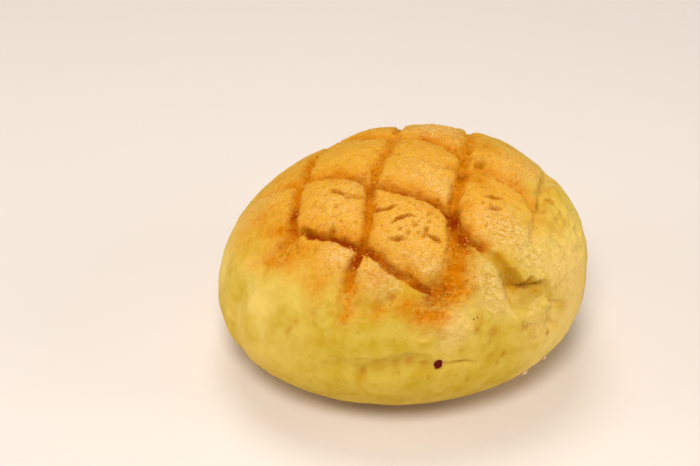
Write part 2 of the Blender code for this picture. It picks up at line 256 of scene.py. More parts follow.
# Soft lamps: (name, place in metres, size in metres, power in watts).
LAMPS = (("front_softbox", (-0.04, -0.44, 0.64), 0.26, 3.6),
         ("back_softbox", (-0.06, 0.26, 0.75), 0.40, 2.2),
         ("left_softbox", (-0.75, -0.1, 0.32), 0.50, 1.6),
         ("right_softbox", (0.75, -0.1, 0.32), 0.50, 1.8))
LAMP_COLOUR = (1.0, 0.97, 0.94)
ROOM_COLOUR = (0.93, 0.88, 0.83)
ROOM_STRENGTH = 0.20


# ---------------------------------------------------------------- shape of the crust
def superellipse(angle, fullness):
    """Radius of a unit superellipse at an angle above or below its widest level."""
    return (np.abs(np.cos(angle)) ** fullness + np.abs(np.sin(angle)) ** fullness) ** (-1 / fullness)


def dome(bearing, angle):
    """Point of the smooth bun at a bearing round it and an angle above its widest level."""
    reach = 1 / np.hypot(np.cos(bearing) / HALF_WIDTH, np.sin(bearing) / HALF_DEPTH)
    reach = reach * (1 + OVAL * np.sin(2 * bearing) + TRIANGULAR * np.sin(3 * bearing))
    widest = WIDEST_LEVEL + WIDEST_TILT[0] * np.cos(bearing) + WIDEST_TILT[1] * np.sin(bearing)
    above = superellipse(angle, DOME_FULLNESS)
    below = superellipse(angle, UNDERSIDE_FULLNESS)
    radius = np.where(angle >= 0, above, below) * np.cos(angle) * reach
    rise = (HEIGHT - widest) * above * np.sin(angle)
    drop = (widest + BASE_SAG) * below * np.sin(angle)
    height = np.maximum(widest + np.where(angle >= 0, rise, drop), 0.0)
    lean = (height / HEIGHT) ** 1.5
    return np.stack([radius * np.cos(bearing) + DOME_LEAN[0] * lean,
                     radius * np.sin(bearing) + DOME_LEAN[1] * lean, height], axis=-1)


def meridian(angle):
    """Distance from the axis, and length from the crown, down an average meridian to an angle."""
    steps = np.linspace(np.pi / 2, -np.pi / 2, 721)
    above, below = superellipse(steps, DOME_FULLNESS), superellipse(steps, UNDERSIDE_FULLNESS)
    out = np.where(steps >= 0, above, below) * np.cos(steps) * MEAN_RADIUS
    rise = (HEIGHT - WIDEST_LEVEL) * above * np.sin(steps)
    drop = (WIDEST_LEVEL + BASE_SAG) * below * np.sin(steps)
    up = np.maximum(WIDEST_LEVEL + np.where(steps >= 0, rise, drop), 0.0)
    lengths = np.concatenate([[0.0], np.cumsum(np.hypot(np.diff(out), np.diff(up)))])
    return np.interp(-angle, -steps, out), np.interp(-angle, -steps, lengths)


def sight_slide(normals, bearing, stretch):
    """How far, laid out, a spot moves away for each millimetre that it is sunk, so that it is seen
    in the same place from the front."""
    facing = np.minimum(normals @ LOOK, -0.45)
    slide = normals - np.array(LOOK) / facing[:, None]
    round_about = np.stack([-np.sin(bearing), np.cos(bearing), np.zeros_like(bearing)], axis=-1)
    outward = np.cross(round_about, normals)
    out = (slide * outward).sum(axis=1)[:, None]
    about = ((slide * round_about).sum(axis=1) * stretch)[:, None]
    laid = out * np.stack([np.cos(bearing), np.sin(bearing)], axis=-1) + about * round_about[:, :2]
    size = np.linalg.norm(laid, axis=1)[:, None]
    return laid * np.minimum(1, 1.5 / np.maximum(size, 0.1))


def smoothstep(low, high, value):
    t = np.clip((value - low) / (high - low), 0, 1)
    return t * t * (3 - 2 * t)


def rough(points, size, octaves=1, seed=0.0):
    """Smooth random values between about -1 and 1, with features of a size in millimetres."""
    shift = Vector((seed * 17.3, seed * 5.1, seed * 9.7))
    if octaves == 1:
        return np.array([noise.noise(Vector(p) / size + shift) for p in points])
    return np.array([noise.fractal(Vector(p) / size + shift, 0.7, 2.1, octaves) for p in points])


def waves(points, rows):
    """Sum of random waves (height, size, octaves, seed)."""
    return sum(height * rough(points, size, octaves, seed) for height, size, octaves, seed in rows)


def smooth_line(rows, per_span=8):
    """A smooth curve through the rows of a line (Catmull-Rom), each value carried along."""
    rows = np.array(rows, dtype=float)
    padded = np.vstack([2 * rows[0] - rows[1], rows, 2 * rows[-1] - rows[-2]])
    t = np.linspace(0, 1, per_span, endpoint=False)[:, None]
    spans = []
    for a, b, c, d in zip(padded, padded[1:], padded[2:], padded[3:]):
        spans.append(0.5 * (2 * b + (c - a) * t + (2 * a - 5 * b + 4 * c - d) * t ** 2
                            + (3 * b - a - 3 * c + d) * t ** 3))
    return np.vstack(spans + [rows[-1:]])


def near_line(places, rows):
    """How far each place is from a line (over 0 to its left, under 0 to its right), the line's half
    width and its depth there."""
    curve = smooth_line(rows)
    away = np.full(len(places), FAR)
    width = np.ones(len(places))
    depth = np.zeros(len(places))
    reach = LINE_REACH + curve[:, 2].max()
    low, high = curve[:, :2].min(axis=0) - reach, curve[:, :2].max(axis=0) + reach
    inside = np.flatnonzero(((places > low) & (places < high)).all(axis=1))
    some = places[inside]
    best = np.full(len(inside), FAR)
    wide, deep = width[inside], depth[inside]
    for start, end in zip(curve, curve[1:]):
        along = end[:2] - start[:2]
        share = np.clip((some - start[:2]) @ along / (along @ along), 0, 1)
        offset = some - start[:2] - share[:, None] * along
        left = along[0] * offset[:, 1] - along[1] * offset[:, 0]
        distance = np.copysign(np.linalg.norm(offset, axis=1), left)
        nearer = np.abs(distance) < np.abs(best)
        best = np.where(nearer, distance, best)
        wide = np.where(nearer, start[2] + share * (end[2] - start[2]), wide)
        deep = np.where(nearer, start[3] + share * (end[3] - start[3]), deep)
    away[inside], width[inside], depth[inside] = best, wide, np.maximum(deep, 0)
    return away, width, depth


def channel(places, rows, shoulder=1.2):
    """Depth of a line with a rounded floor and rounded shoulders."""
    away, width, depth = near_line(places, rows)
    return depth * np.clip(1 - (away / width) ** 2, 0, 1) ** shoulder


def crest(places, rows, gentle=1.0):
    """Height of a ridge with a sharp top, its right side the given number of times as wide."""
    away, width, depth = near_line(places, rows)
    away = np.where(away < 0, away / gentle, away)
    return depth * np.clip(1 - np.abs(away / width) ** 1.2, 0, 1)


def cave(places, rows):
    """Depth of a hollow with a steep wall on its left and a long slope on its right."""
    away, width, depth = near_line(places, rows)
    wall = 1 - np.clip(away / width, 0, 1) ** 3.5
    slope = 1 - smoothstep(0.0, 1.0, np.clip(-away / (2.8 * width), 0, 1))
    return depth * np.clip(np.where(away > 0, wall, slope), 0, 1)


def score(places, rows, far_slope):
    """Depth of a score line, and how strongly its colour shows. A narrow score is a V and a wide one
    a trough; the crust rounds down to it, over a longer way on its left where there is a far slope."""
    away, width, depth = near_line(places, rows)
    distance = np.abs(away)
    sharpness = np.clip(1.4 + 0.8 * (width - 1.6), 1.4, 4.0)
    cut = depth * np.clip(1 - (distance / width) ** sharpness, 0, 1)
    beyond = smoothstep(-0.5, 0.6, away / width) * far_slope
    rounding = depth * (0.42 * np.exp(-distance / 3.2) + 0.42 * beyond * np.exp(-(distance / 4.6) ** 2))
    inner = np.clip(1.0 - (distance / width) ** 2, 0, 1)
    outer = (0.35 + 0.5 * beyond) * np.exp(-(distance / 3.4) ** 2)
    return cut, rounding, np.clip(depth / 1.9, 0, 1) * np.maximum(inner, outer)


def spots(places, table, sharpness=1.5):
    """Sum of round spots (x, y, radius, amount)."""
    total = np.zeros(len(places))
    for x, y, radius, amount in table:
        total += amount * np.exp(-sharpness * ((places - (x, y)) ** 2).sum(axis=1) / radius ** 2)
    return total


def crown_grid(segments, crowding):
    """A cube cut into squares and rounded to a unit ball, its grid gathered on the crown."""
    grid = bmesh.new()
    bmesh.ops.create_cube(grid, size=2.0)
    bmesh.ops.subdivide_edges(grid, edges=grid.edges[:], cuts=segments - 1, use_grid_fill=True)
    gather = Vector(CROWD_TOWARDS).normalized() * crowding
    for vertex in grid.verts:
        even = Vector([math.tan(value * math.pi / 4) for value in vertex.co])
        vertex.co = (even.normalized() + gather).normalized()
    return grid


def grouped(rows, seed):
    """Round spots drawn at random in loose groups, as rows (x, y, radius, amount)."""
    draw = np.random.default_rng(seed)
    spots_drawn = []
    for x, y, spread, number, radius, amount in rows:
        centres = draw.normal((x, y), spread / 1.5, (number, 2))
        sizes = radius * draw.uniform(0.8, 1.2, number)
        amounts = amount * draw.uniform(0.7, 1.3, number)
        spots_drawn.append(np.column_stack([centres, sizes, amounts]))
    return np.vstack(spots_drawn)


def crack_line(x, y, heading, length, turn, depth):
    """Rows of a crack from a place on, bending evenly through a turn and deepest halfway."""
    share = np.linspace(0, 1, 6)
    bearing = np.radians(heading + turn * share[:-1])
    step = length / len(bearing)
    ahead = np.concatenate([[0], np.cumsum(np.cos(bearing))]) * step
    aside = np.concatenate([[0], np.cumsum(np.sin(bearing))]) * step
    bulge = np.sin(np.pi * (0.1 + 0.8 * share))
    return np.column_stack([x + ahead, y + aside, 0.5 + 0.4 * bulge, depth * bulge])


def random_pits(count, seed):
    """Small pits scattered over the toasted crown and the sugared side."""
    draw = np.random.default_rng(seed)
    bearing = draw.uniform(0, 2 * np.pi, count)
    reach = 46 * np.sqrt(draw.uniform(0, 1, count))
    x, y = reach * np.cos(bearing) + 3, reach * np.sin(bearing) - 6
    radius = draw.uniform(0.35, 0.65, count)
    depth = radius * draw.uniform(0.2, 0.8, count)
    return np.stack([x, y, radius, depth], axis=-1)


def crust_relief(places, slide, points, settings):
    """Height added to the smooth bun at each place, and how far each kind of colouring goes."""
    sway = np.stack([waves(points, rows) for rows in SWAY_WAVES], axis=-1)
    ragged = places + sway * settings.raggedness / MM
    sunk = ragged - SIGHT_DEPTH * slide
    cut = np.zeros(len(places))
    rounding = np.zeros(len(places))
    orange = spots(sunk, ORANGE_PATCHES)
    for lines, far_slope in ((SCORES_FRONT_TO_BACK, 0.0), (SCORES_SIDE_TO_SIDE, 1.0)):
        for rows in lines:
            deep, round_off, colour = score(sunk, rows, far_slope)
            cut = np.maximum(cut, deep)
            rounding = np.maximum(rounding, round_off)
            orange = np.maximum(orange, colour)
    uneven = np.clip(1 + SCORE_UNEVENNESS * rough(points, 4.5, 2, 16), 0.45, 1.4)
    height = -(SCORE_CUT * cut * uneven + rounding) * settings.score_depth
    for rows in FOLDS:
        height -= channel(ragged, rows, 1.5)
    height -= cave(places + 0.5 * (ragged - places) - HOLLOW_DEPTH * slide, HOLLOW)
    height += crest(ragged, SUGARED_CREST, 2.5)
    for rows in RIDGES:
        height += channel(ragged, rows, 1.5)
    cracks = np.zeros(len(places))
    for crack in CRACKS:
        cracks = np.maximum(cracks, channel(ragged, crack_line(*crack), 0.8))
    height -= CRACK_CUT * cracks
    height += spots(places, SWELLINGS)
    frost_and_glints = np.clip(spots(ragged, FROST_AND_GLINT_PATCHES, 1.0), 0, 1)
    toast_reach = np.hypot((ragged[:, 0] + 9) / 41, (ragged[:, 1] + 1) / 37)
    toast = 1 - smoothstep(0.72, 1.28, toast_reach + 0.16 * rough(points, 9, 2, 3))
    grainy = np.clip(0.25 + 0.75 * toast + 0.6 * frost_and_glints, 0, 1) * smoothstep(-52, -42, places[:, 0])
    pits = spots(places, grouped(PIT_GROUPS, 31), 2.0)
    height -= PIT_CUT * pits
    little_pits = spots(places, random_pits(settings.pits, 11), 2.0) * grainy
    height -= little_pits
    height += waves(points, SKIN_WAVES)
    height += grainy * waves(points, GRAIN_WAVES)
    height += frost_and_glints * waves(points, FROST_WAVES)
    height += np.clip(spots(places, LUMPY, 1.0), 0, 1.3) * LUMP_HEIGHT * rough(points, 4.2, 3, 14)
    crumbly = np.clip(np.maximum(cut / 1.8, orange * 0.7), 0, 1)
    height += crumbly * CRUMB_HEIGHT * rough(points, 1.4, 2, 9)
    # Painted shade in the deepest score lines and in the cracks.
    rust_and_crease_shade = spots(sunk, RUST_AND_CREASE_SHADE_PATCHES, 1.2) * smoothstep(0.2, 0.8, cut / FULL_SCORE) + 0.35 * cracks
    # Painted shade: the darker golden colour of the torn hollow and dips, where shade falls.
    painted_shade = np.clip(spots(ragged - HOLLOW_DEPTH * slide, PAINTED_SHADE_SPOTS, 1.2), 0, 1)
    # Real brown stains, with brown painted as shade along the front crease.
    stains_and_crease_shade = spots(places, grouped(STAIN_GROUPS, 32), 1.6) + spots(places, CREASE_SHADE_SPOTS, 1.6)
    # Real stains, with brown painted as shade into the cracks and pits.
    stain_and_recess_shade = np.clip(1.2 * stains_and_crease_shade + 1.8 * cracks + pits * (0.3 + 0.7 * toast)
                    + 1.9 * little_pits * toast, 0, 1)
    return height, {"toast": toast, "orange": np.clip(orange, 0, 1), "rust_and_crease_shade": np.clip(rust_and_crease_shade, 0, 1),
                    "frost_and_glints": frost_and_glints,
                    "stain_and_recess_shade": stain_and_recess_shade, "painted_shade": painted_shade, "depth": np.clip(cut / FULL_SCORE, 0, 1),
                    "milky_and_lit": np.clip(spots(places, MILKY_AND_LIT_PATCHES, 1.0), 0, 1)}


class Crust:
    """The finished skin: its points and normals in millimetres, and where each lies laid out."""

    def __init__(self, settings):
        self.skin = crown_grid(settings.segments, settings.crowding)
        ball = np.array([vertex.co for vertex in self.skin.verts])
        bearing = np.arctan2(ball[:, 1], ball[:, 0])
        angle = np.arcsin(np.clip(ball[:, 2], -1, 1))
        smooth = dome(bearing, angle)
        self.place(smooth)
        normals = self.normals()
        radius, reach = meridian(angle)
        self.places = reach[:, None] * np.stack([np.cos(bearing), np.sin(bearing)], axis=-1)
        slide = sight_slide(normals, bearing, reach / np.maximum(radius, 0.1))
        height, self.masks = crust_relief(self.places, slide, smooth, settings)
        fade = smoothstep(RELIEF_STARTS, RELIEF_FULL, smooth[:, 2])
        overhang = spots(self.places - HOLLOW_DEPTH * slide, LIPS)[:, None]
        forward = np.cross(normals, (1.0, 0.0, 0.0))
        forward /= np.maximum(np.linalg.norm(forward, axis=1), 0.1)[:, None]
        self.points = smooth + normals * (height * fade)[:, None] - forward * overhang
        middle = (self.points.min(axis=0) + self.points.max(axis=0)) / 2
        self.points -= (middle[0], middle[1], 0.0)
        self.place(self.points)
        # Browned underside near the table, its brown partly painted contact shade where the bun meets
        # the table.
        self.masks["base"] = 1 - smoothstep(0.3, 4.0, self.points[:, 2] + 1.2 * rough(smooth, 6, 2, 10))

    def place(self, points):
        for vertex, point in zip(self.skin.verts, points):
            vertex.co = point
        self.skin.normal_update()

    def normals(self):
        return np.array([vertex.normal for vertex in self.skin.verts])

    def mesh(self, name):
        bmesh.ops.scale(self.skin, vec=(MM, MM, MM), verts=self.skin.verts[:])
        mesh = bpy.data.meshes.new(name)
        self.skin.to_mesh(mesh)
        self.skin.free()
        for mask, values in self.masks.items():
            layer = mesh.attributes.new(mask, "FLOAT", "POINT")
            layer.data.foreach_set("value", values.astype(np.float32))
        mesh.shade_smooth()
        return mesh


# ---------------------------------------------------------------- shader bench
class Signal:
    """A shader socket that can be used in a sum; arithmetic on it adds Math nodes."""

    def __init__(self, bench, socket):
        self.bench = bench
        self.socket = socket

    def __add__(self, other):
        return self.bench.math("ADD", self, other)

    def __sub__(self, other):
        return self.bench.math("SUBTRACT", self, other)

    def __rsub__(self, other):
        return self.bench.math("SUBTRACT", other, self)

    def __mul__(self, other):
        return self.bench.math("MULTIPLY", self, other)

    __radd__ = __add__
    __rmul__ = __mul__

    def clamp(self):
        return self.bench.math("MINIMUM", self.bench.math("MAXIMUM", self, 0.0), 1.0)


class Bench:
    """Builds one material's nodes."""

    def __init__(self, name):
        self.material = bpy.data.materials.new(name)
        self.material.use_nodes = True
        self.tree = self.material.node_tree
        self.tree.nodes.clear()

    def add(self, kind, settings=None, sockets=None, output=0):
        """Adds a node: its settings first, then a value or a link for each named socket."""
        node = self.tree.nodes.new(kind)
        for key, value in (settings or {}).items():
            setattr(node, key, value)
        for key, value in (sockets or {}).items():
            if isinstance(value, Signal):
                self.tree.links.new(value.socket, node.inputs[key])
            else:
                node.inputs[key].default_value = value
        return Signal(self, node.outputs[output]) if node.outputs else node

    def math(self, operation, first, second):
        return self.add("ShaderNodeMath", {"operation": operation}, {0: first, 1: second})

    def mask(self, name):
        return self.add("ShaderNodeAttribute", {"attribute_name": name}, output="Fac")

    def blend(self, share, first, second):
        """Colour that goes from first to second as share goes from 0 to 1."""
        colours = {0: share}
        for socket, colour in ((6, first), (7, second)):
            colours[socket] = colour if isinstance(colour, Signal) else (*colour, 1.0)
        return self.add("ShaderNodeMix", {"data_type": "RGBA"}, colours, output=2)

    def speckle(self, size, detail=2.0, roughness=0.55, seed=0.0):
        """Noise between about 0 and 1 with features of a size in metres."""
        where = self.add("ShaderNodeTexCoord", output="Object")
        shifted = self.add("ShaderNodeVectorMath", {"operation": "ADD"},
                           {0: where, 1: (seed, seed, seed)})
        return self.add("ShaderNodeTexNoise", None,
                        {"Vector": shifted, "Scale": 1 / size, "Detail": detail, "Roughness": roughness})

    def between(self, low, high, value):
        """Smooth step of a value from 0 at low to 1 at high."""
        return self.add("ShaderNodeMapRange", {"interpolation_type": "SMOOTHSTEP"},
                        {"Value": value, "From Min": low, "From Max": high})

    def finish(self, sockets):
        """Ends in a Principled shader with the given sockets."""
        shader = self.add("ShaderNodeBsdfPrincipled", None, sockets)
        self.add("ShaderNodeOutputMaterial", None, {"Surface": shader})
        return self.material


def crust_finish(colours):
    """Baked cookie crust: pale low down, toasted on the crown, orange in the score lines, sugared, with
    painted shade in the creases, pits and dips and painted light on the sides and sugar.
    """
    bench = Bench("cookie_crust")
    broad = bench.speckle(16 * MM, 3.0, 0.6, 1.0)
    patchy = bench.speckle(5 * MM, 3.0, 0.6, 2.0)
    fine = bench.speckle(1.2 * MM, 2.0, 0.6, 3.0)
    grain = bench.speckle(0.55 * MM, 1.0, 0.5, 4.0)
    toast = (bench.mask("toast") + (broad - 0.5) * 0.5).clamp()
    # Paler milky crust, partly painted light on the flanks and the hollow floor.
    milky_and_lit = bench.mask("milky_and_lit") * bench.between(0.30, 0.62, broad)
    colour = bench.blend(bench.between(0.35, 0.7, patchy), colours.pale, colours.golden)
    colour = bench.blend(milky_and_lit, colour, colours.milky_and_lit)
    colour = bench.blend(toast, colour, colours.toasted)
    grainy = (bench.mask("toast") + bench.mask("frost_and_glints") * 0.6).clamp()
    darker = (bench.between(0.45, 0.75, patchy) * 0.35
              + bench.between(0.5, 0.68, fine * 0.6 + grain * 0.4) * 0.4)
    colour = bench.blend(darker * grainy, colour, colours.orange)
    orange = (bench.mask("orange") * (patchy * 1.5 + fine * 1.5 + grain * 0.8 - 0.85)).clamp()
    colour = bench.blend(orange, colour, colours.orange)
    # Brown of real stains, also painted shade in cracks, pits and the front crease.
    stain_and_recess_shade = (bench.mask("stain_and_recess_shade") * (0.4 + fine)).clamp()
    clear = (1 - bench.mask("stain_and_recess_shade") * 0.8) * (1 - bench.mask("painted_shade"))
    # Sugar frost, with painted glints of light scattered over the toasted crown.
    frost_and_glints = bench.mask("frost_and_glints") * bench.between(0.42, 0.58, fine * 0.5 + grain * 0.5) * 1.2 * clear
    frost_and_glints = (frost_and_glints + bench.between(0.48, 0.62, grain) * toast * 0.34 * clear) * (1 - orange * 0.9)
    colour = bench.blend(frost_and_glints * 0.58, colour, colours.frost_and_glints)
    # Painted shade in the torn hollow and the dips.
    colour = bench.blend(bench.mask("painted_shade") * 0.85, colour, colours.painted_shade)
    colour = bench.blend(stain_and_recess_shade * 0.95, colour, colours.stain_and_recess_shade)
    # Painted crease shade from the mask, with the crust's own small dark dots in the orange.
    dots = bench.between(0.54, 0.68, fine * 0.5 + grain * 0.5) * orange * 0.32
    rust_and_crease_shade = (bench.mask("rust_and_crease_shade") * (0.5 + fine) + dots).clamp()
    colour = bench.blend(rust_and_crease_shade, colour, colours.rust_and_crease_shade)
    # Browned underside, partly painted contact shade.
    base = bench.mask("base") * bench.between(0.2, 0.5, patchy)
    colour = bench.blend(base, colour, colours.base)
    sheen = ((1 - orange) * (0.08 + patchy * 0.2) + frost_and_glints * 0.2).clamp() * clear
    bump = bench.add("ShaderNodeBump", None, {
        "Strength": 1.0, "Distance": 0.32 * MM,
        "Height": grain * (grainy * 0.8 + 0.04) + fine * (grainy + 0.1) + patchy * 0.5})
    return bench.finish({
        "Base Color": colour, "Normal": bump,
        "Roughness": (0.52 + bench.mask("frost_and_glints") * 0.2 + bench.mask("orange") * 0.12
                      + (patchy - 0.5) * 0.2),
        "Specular IOR Level": 0.0, "Coat Weight": sheen, "Coat Roughness": 0.36, "Coat IOR": 1.45,
        "Subsurface Weight": 0.08, "Subsurface Scale": 1.5 * MM,
        "Subsurface Radius": (1.0, 0.4, 0.12)})


def grain_finish(name, colour, roughness, shine=0.5):
    """Small loose bits with a little unevenness of tone."""
    bench = Bench(name)
    tone = bench.speckle(0.8 * MM, 1.0, 0.5, 5.0)
    darker = tuple(value * 0.72 for value in colour)
    return bench.finish({"Base Color": bench.blend(tone, darker, tuple(colour)),
                         "Roughness": 0.8 * roughness + tone * 0.4 * roughness,
                         "Specular IOR Level": shine})


# ---------------------------------------------------------------- pieces
def add_piece(name, mesh, material):
    piece = bpy.data.objects.new(name, mesh)
    mesh.materials.append(material)
    bpy.context.scene.collection.objects.link(piece)
    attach(piece, BODY)
    return piece


def surface_at(x, y):
    """Point and normal of the finished crust nearest to a laid-out place, in metres."""
    bun = bpy.data.objects["bun_crust"]
    laid = np.empty(len(bun.data.vertices) * 2, dtype=np.float32)
    bun.data.attributes["laid_out"].data.foreach_get("vector", laid)
    index = int(np.argmin(((laid.reshape(-1, 2) - (x, y)) ** 2).sum(axis=1)))
    vertex = bun.data.vertices[index]
    return Vector(vertex.co), Vector(vertex.normal)


def joined_copies(name, shape, matrices):
    """One mesh of many copies of a small closed shape, one for each matrix."""
    points = np.array([(*vertex.co, 1.0) for vertex in shape.verts])
    faces = [[vertex.index for vertex in face.verts] for face in shape.faces]
    moved = np.einsum("kij,nj->kni", matrices[:, :3, :], points)
    count = len(points)
    all_faces = [[index + copy * count for index in face]
                 for copy in range(len(matrices)) for face in faces]
    mesh = bpy.data.meshes.new(name)
    mesh.from_pydata(moved.reshape(-1, 3).tolist(), [], all_faces)
    mesh.update()
    return mesh


def random_turns(draw, count):
    """Random rotations as an array of 3 by 3 matrices."""
    quarter = draw.normal(size=(count, 4))
    quarter /= np.linalg.norm(quarter, axis=1)[:, None]
    w, x, y, z = quarter.T
    return np.stack([
        np.stack([1 - 2 * (y * y + z * z), 2 * (x * y - z * w), 2 * (x * z + y * w)], -1),
        np.stack([2 * (x * y + z * w), 1 - 2 * (x * x + z * z), 2 * (y * z - x * w)], -1),
        np.stack([2 * (x * z - y * w), 2 * (y * z + x * w), 1 - 2 * (x * x + y * y)], -1)], 1)


def scatter(draw, count, chances, low, high, sink):
    """Matrices for small bits lying on the crust's points, more where the chances are higher."""
    bun = bpy.data.objects["bun_crust"].data
    total = len(bun.vertices)
    where = np.empty(total * 3, dtype=np.float32)
    facing = np.empty(total * 3, dtype=np.float32)
    bun.vertices.foreach_get("co", where)
    bun.vertices.foreach_get("normal", facing)
    where, facing = where.reshape(-1, 3), facing.reshape(-1, 3)
    chosen = draw.choice(total, size=count, replace=False, p=chances / chances.sum())
    size = draw.uniform(low, high, count)
    stretch = draw.uniform(0.75, 1.25, (count, 3)) * size[:, None]
    turns = random_turns(draw, count) * stretch[:, None, :]
    matrices = np.zeros((count, 4, 4))
    matrices[:, :3, :3] = turns
    side = draw.normal(size=(count, 3)) * 0.12 * MM
    matrices[:, :3, 3] = where[chosen] + facing[chosen] * (size * sink)[:, None] + side
    matrices[:, 3, 3] = 1
    return matrices


def vertex_mask(name):
    bun = bpy.data.objects["bun_crust"].data
    values = np.empty(len(bun.vertices), dtype=np.float32)
    bun.attributes[name].data.foreach_get("value", values)
    return values


# ---------------------------------------------------------------- settings
class MelonPanShape(bpy.types.PropertyGroup):
    segments: IntProperty(name="Segments", description="Grid squares along an edge of the starting cube",
                          default=126, min=16, max=128)
    crowding: FloatProperty(name="Crowding", description="How strongly the grid gathers on the crown",
                            default=0.42, min=0.0, max=0.6)
    score_depth: FloatProperty(name="Score depth", description="Depth of the score lines, as a share",
                               default=1.0, min=0.0, max=2.0)
    raggedness: FloatProperty(name="Raggedness", description="How far the score lines' edges wander",
                              default=0.55 * MM, unit="LENGTH")
    pits: IntProperty(name="Pits", description="Number of small random pits", default=900, min=0)


class MelonPanColours(bpy.types.PropertyGroup):
    pale: FloatVectorProperty(name="Pale", description="Crust low on the sides", subtype="COLOR",
                              default=(0.67, 0.470, 0.064))
    golden: FloatVectorProperty(name="Golden", description="Deeper yellow blotches low on the sides",
                                subtype="COLOR", default=(0.58, 0.370, 0.019))
    # Paler crust of the sides, partly painted light on the flanks and the hollow floor.
    milky_and_lit: FloatVectorProperty(name="Milky", description="Paler stretches of the sides", subtype="COLOR",
                               default=(0.85, 0.62, 0.165))
    toasted: FloatVectorProperty(name="Toasted", description="Crust on the crown", subtype="COLOR",
                                 default=(0.76, 0.362, 0.020))
    orange: FloatVectorProperty(name="Orange", description="Crust in the score lines", subtype="COLOR",
                                default=(0.61, 0.196, 0.000))
    # Painted shade: the dark colour painted into the deepest creases and cracks, also used for small
    # dark dots.
    rust_and_crease_shade: FloatVectorProperty(name="Rust", description="Darkest creases", subtype="COLOR",
                              default=(0.32, 0.040, 0.000))
    # Brown of real stains, also painted as shade into cracks, pits and the front crease.
    stain_and_recess_shade: FloatVectorProperty(name="Stain", description="Brown stains and pits", subtype="COLOR",
                               default=(0.46, 0.152, 0.001))
    # Painted shade: colour painted into the torn hollow and other dips, where shade falls.
    painted_shade: FloatVectorProperty(name="Shade", description="Skin down in the torn hollow", subtype="COLOR",
                               default=(0.60, 0.300, 0.002))
    # Colour of the sugar frost, also used for painted glints on the crown.
    frost_and_glints: FloatVectorProperty(name="Frost", description="Fine melted sugar", subtype="COLOR",
                               default=(0.96, 0.70, 0.27))
    # Brown of the underside, made darker and redder as painted contact shade.
    base: FloatVectorProperty(name="Base", description="Browned underside", subtype="COLOR",
                              default=(0.42, 0.165, 0.022))


class MelonPanBits(bpy.types.PropertyGroup):
    sugar_count: IntProperty(name="Sugar grains", description="Number of sugar grains",
                             default=9000, min=0, max=16000)
    sugar_size: FloatProperty(name="Grain size", description="Half the edge of a grain",
                              default=0.075 * MM, unit="LENGTH")
    crumb_count: IntProperty(name="Crumbs", description="Number of small crumbs", default=260, min=0)
    speck_length: FloatProperty(name="Speck length", description="Length of the burnt speck",
                                default=2.9 * MM, unit="LENGTH")
    flake_length: FloatProperty(name="Flake length", description="Length of the largest pale flake",
                                default=2.6 * MM, unit="LENGTH")


class MelonPanStage(bpy.types.PropertyGroup):
    focal_length: FloatProperty(name="Focal length", description="Lens of the camera, in millimetres",
                                default=85.0)
    distance: FloatProperty(name="Distance", description="Camera to the middle of the bun",
                            default=0.478, unit="LENGTH")
    elevation: FloatProperty(name="Elevation", description="Height angle of the camera",
                             default=math.radians(38), subtype="ANGLE")
    aim_left: FloatProperty(name="Aim left", description="How far left of the bun the camera aims",
                            default=13.0 * MM, unit="LENGTH")
    aim_up: FloatProperty(name="Aim up", description="How far above the bun's middle the camera aims",
                          default=10.5 * MM, unit="LENGTH")
    table: FloatVectorProperty(name="Table", description="Colour of the table", subtype="COLOR",
                               default=(0.86, 0.78, 0.71))


# ---------------------------------------------------------------- operators
class MELONPAN_OT_crust(bpy.types.Operator):
    """Make the bun itself, one closed skin"""
    bl_idname = "melonpan.crust"
    bl_label = "Crust"

    def execute(self, context):
        crust = Crust(context.scene.melonpan_shape)
        places = crust.places.astype(np.float32).ravel()
        mesh = crust.mesh("bun_crust")
        laid = mesh.attributes.new("laid_out", "FLOAT2", "POINT")
        laid.data.foreach_set("vector", places)
        bun = add_piece("bun_crust", mesh, crust_finish(context.scene.melonpan_colours))
        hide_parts(NODE)
        return {"FINISHED"}


class MELONPAN_OT_sugar(bpy.types.Operator):
    """Scatter fine sugar grains over the frosted stretches"""
    bl_idname = "melonpan.sugar"
    bl_label = "Sugar grains"

    def execute(self, context):
        bits = context.scene.melonpan_bits
        draw = np.random.default_rng(21)
        bare = (1 - vertex_mask("base")) * (1 - vertex_mask("depth")) ** 2
        chances = vertex_mask("frost_and_glints") ** 2 * bare * (1 - vertex_mask("orange")) ** 2
        cube = bmesh.new()
        bmesh.ops.create_cube(cube, size=2.0)
        cube.verts.index_update()
        smallest, largest = 0.6 * bits.sugar_size, 1.3 * bits.sugar_size
        matrices = scatter(draw, bits.sugar_count, chances, smallest, largest, 0.2)
        mesh = joined_copies("sugar_grains", cube, matrices)
        cube.free()
        add_piece("sugar_grains", mesh, grain_finish("sugar", (0.94, 0.62, 0.20), 0.35))
        return {"FINISHED"}


class MELONPAN_OT_crumbs(bpy.types.Operator):
    """Scatter small crumbs of crust in the score lines and on the crown"""
    bl_idname = "melonpan.crumbs"
    bl_label = "Crumbs"

    def execute(self, context):
        bits = context.scene.melonpan_bits
        draw = np.random.default_rng(22)
        chances = vertex_mask("depth") ** 0.7 * 0.6 + 0.2 * vertex_mask("toast") * vertex_mask("frost_and_glints")
        crumb = bmesh.new()
        bmesh.ops.create_icosphere(crumb, subdivisions=2, radius=1.0)
        for vertex in crumb.verts:
            vertex.co *= 1 + 0.35 * noise.noise(vertex.co * 1.7)
        crumb.verts.index_update()
        matrices = scatter(draw, bits.crumb_count, chances, 0.15 * MM, 0.36 * MM, 0.25)
        mesh = joined_copies("crust_crumbs", crumb, matrices)
        crumb.free()
        mesh.shade_smooth()
        add_piece("crust_crumbs", mesh, grain_finish("crumb", (0.80, 0.34, 0.02), 0.7))
        return {"FINISHED"}


